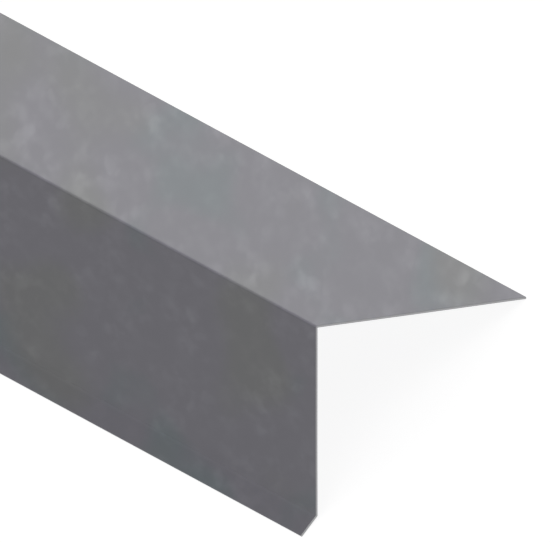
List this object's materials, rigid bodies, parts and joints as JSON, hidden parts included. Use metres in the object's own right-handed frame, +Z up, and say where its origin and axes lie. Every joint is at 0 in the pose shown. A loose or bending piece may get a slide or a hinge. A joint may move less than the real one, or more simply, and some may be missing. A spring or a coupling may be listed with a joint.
{
  "type": "drip edge flashing",
  "caption": "Galvanised steel roof drip edge: a flat flange folded square to a face leg, with a short kicked-out lip along the leg's foot, in a full stock length.",
  "frame": {"origin": "on the floor, midway along the strip and midway between its long edges as it lies unheld", "axes": "+X along the strip, +Y towards the flange's free edge, -Y towards the lip, +Z up. The strip lies like a tent: flange and leg slope down from the fold, and its free edge and its lip rest on z = 0. The flange's top face points along +Y and +Z, the leg's front along -Y and +Z"},
  "size_m": [3.048, 0.085, 0.0393],
  "materials": {
    "galvanised_steel": "dull hot-dip galvanised sheet, grey with a faint cloudy mottle, not rusted"
  },
  "bodies": {
    "root": {"flashing_sheet": "galvanised_steel"}
  },
  "joints": []
}
